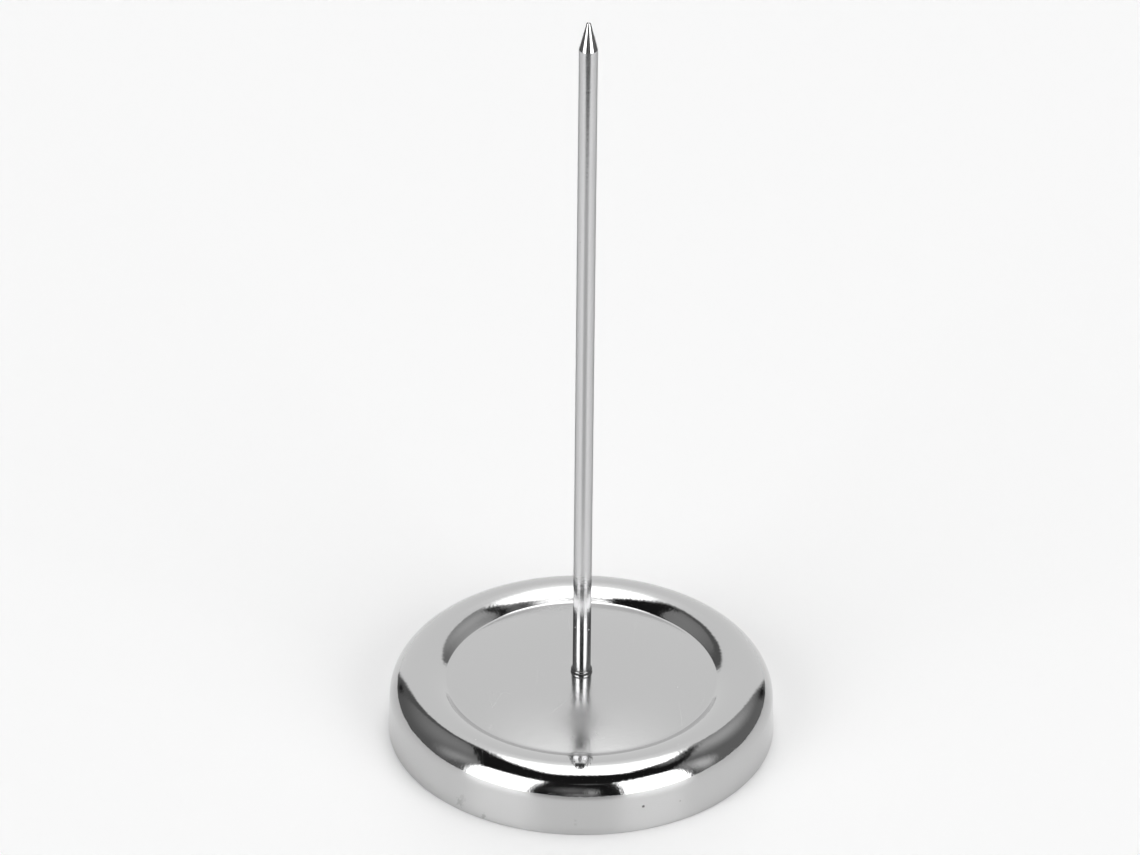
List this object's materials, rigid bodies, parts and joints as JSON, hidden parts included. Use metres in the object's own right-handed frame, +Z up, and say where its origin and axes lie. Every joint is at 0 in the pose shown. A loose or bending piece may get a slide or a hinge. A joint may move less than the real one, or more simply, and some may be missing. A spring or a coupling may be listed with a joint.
{
  "type": "receipt spike",
  "caption": "Upright pointed steel rod on a round chromed dish base, which holds receipts and slips of paper pushed down over its point.",
  "frame": {"origin": "centre of the base's bottom edge, on the surface that the object stands on", "axes": "+Z up along the rod, towards its point; the object is round, so X and Y are free"},
  "size_m": [0.075, 0.075, 0.155],
  "materials": {
    "chromed_sheet": "polished chrome plate, satin on the dish floor",
    "plated_rod": "bright plated rod, slightly drawn, with a polished ground point",
    "plated_fixing": "dull zinc plate"
  },
  "bodies": {
    "root": {"base_shell": "chromed_sheet", "spike_rod": "plated_rod", "washer": "plated_fixing", "hex_nut": "plated_fixing"}
  },
  "joints": []
}
